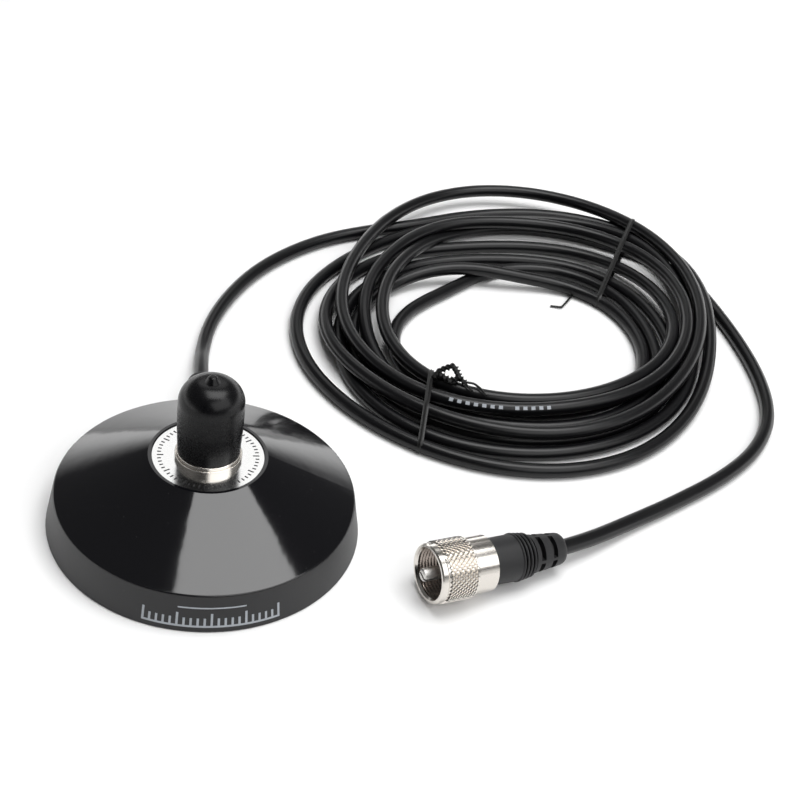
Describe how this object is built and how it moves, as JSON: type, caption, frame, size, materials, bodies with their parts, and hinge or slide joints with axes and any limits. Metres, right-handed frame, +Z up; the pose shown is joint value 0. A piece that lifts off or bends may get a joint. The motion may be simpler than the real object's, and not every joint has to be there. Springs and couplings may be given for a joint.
{
  "type": "magnetic antenna mount",
  "caption": "Magnetic base with a capped threaded antenna socket and a moulded coaxial lead, loosely coiled and tied, that ends in a plug with a knurled coupling nut",
  "frame": {"origin": "Centre of the round base on the surface that it stands on", "axes": "+Z is up, along the antenna socket's axis. +Y is the side where the cable leaves the base. -Y is the front, with the print on the skirt"},
  "size_m": [0.2587, 0.2564, 0.0547],
  "materials": {
    "gloss_black": "black moulded plastic, polished cone and satin skirt",
    "pad_rubber": "thin black rubber",
    "ferrite": "dark grey sintered ferrite",
    "zinc_steel": "zinc plated steel",
    "nickel": "bright nickel plate on brass",
    "bright_disc": "bright metal disc with black print",
    "white_insulator": "white insulating plastic",
    "contact_brass": "plated brass",
    "cap_vinyl": "soft black vinyl with a low sheen",
    "boot_vinyl": "matt black moulded vinyl",
    "cable_jacket": "black vinyl cable jacket with a soft sheen",
    "tinned_wire": "tinned copper",
    "tie_plastic": "black plastic over a soft steel wire"
  },
  "bodies": {
    "mount": {"base_cover": "gloss_black", "bottom_pad": "pad_rubber", "ring_magnet": "ferrite", "steel_plate": "zinc_steel", "plate_screws": "zinc_steel", "socket_body": "nickel", "lock_washer": "zinc_steel", "ground_tag": "nickel", "label_disc": "bright_disc", "collar_nut": "nickel", "socket_insulator": "white_insulator", "socket_contact": "contact_brass", "cable_exit_boot": "boot_vinyl", "core_insulation": "white_insulator", "centre_wire": "tinned_wire", "braid_tail": "tinned_wire", "lead_to_coil": "cable_jacket", "cable_coil": "cable_jacket", "lead_to_plug": "cable_jacket", "twist_tie_front": "tie_plastic", "twist_tie_back": "tie_plastic", "plug_body": "nickel", "plug_insulator": "white_insulator", "plug_pin": "nickel", "crimp_sleeve": "nickel", "plug_boot": "boot_vinyl"},
    "cap": {"dust_cap": "cap_vinyl"},
    "nut": {"coupling_nut": "nickel"}
  },
  "joints": [
    {"name": "cap_pull", "type": "slide", "parent": "mount", "child": "cap", "axis": [0, 0, 1], "range_m": [0, 0.05]},
    {"name": "nut_spin", "type": "hinge", "parent": "mount", "child": "nut", "pos_m": [0.06365, -0.0345, 0.01036], "axis": [0.9432, 0.3229, -0.0785], "continuous": true}
  ]
}
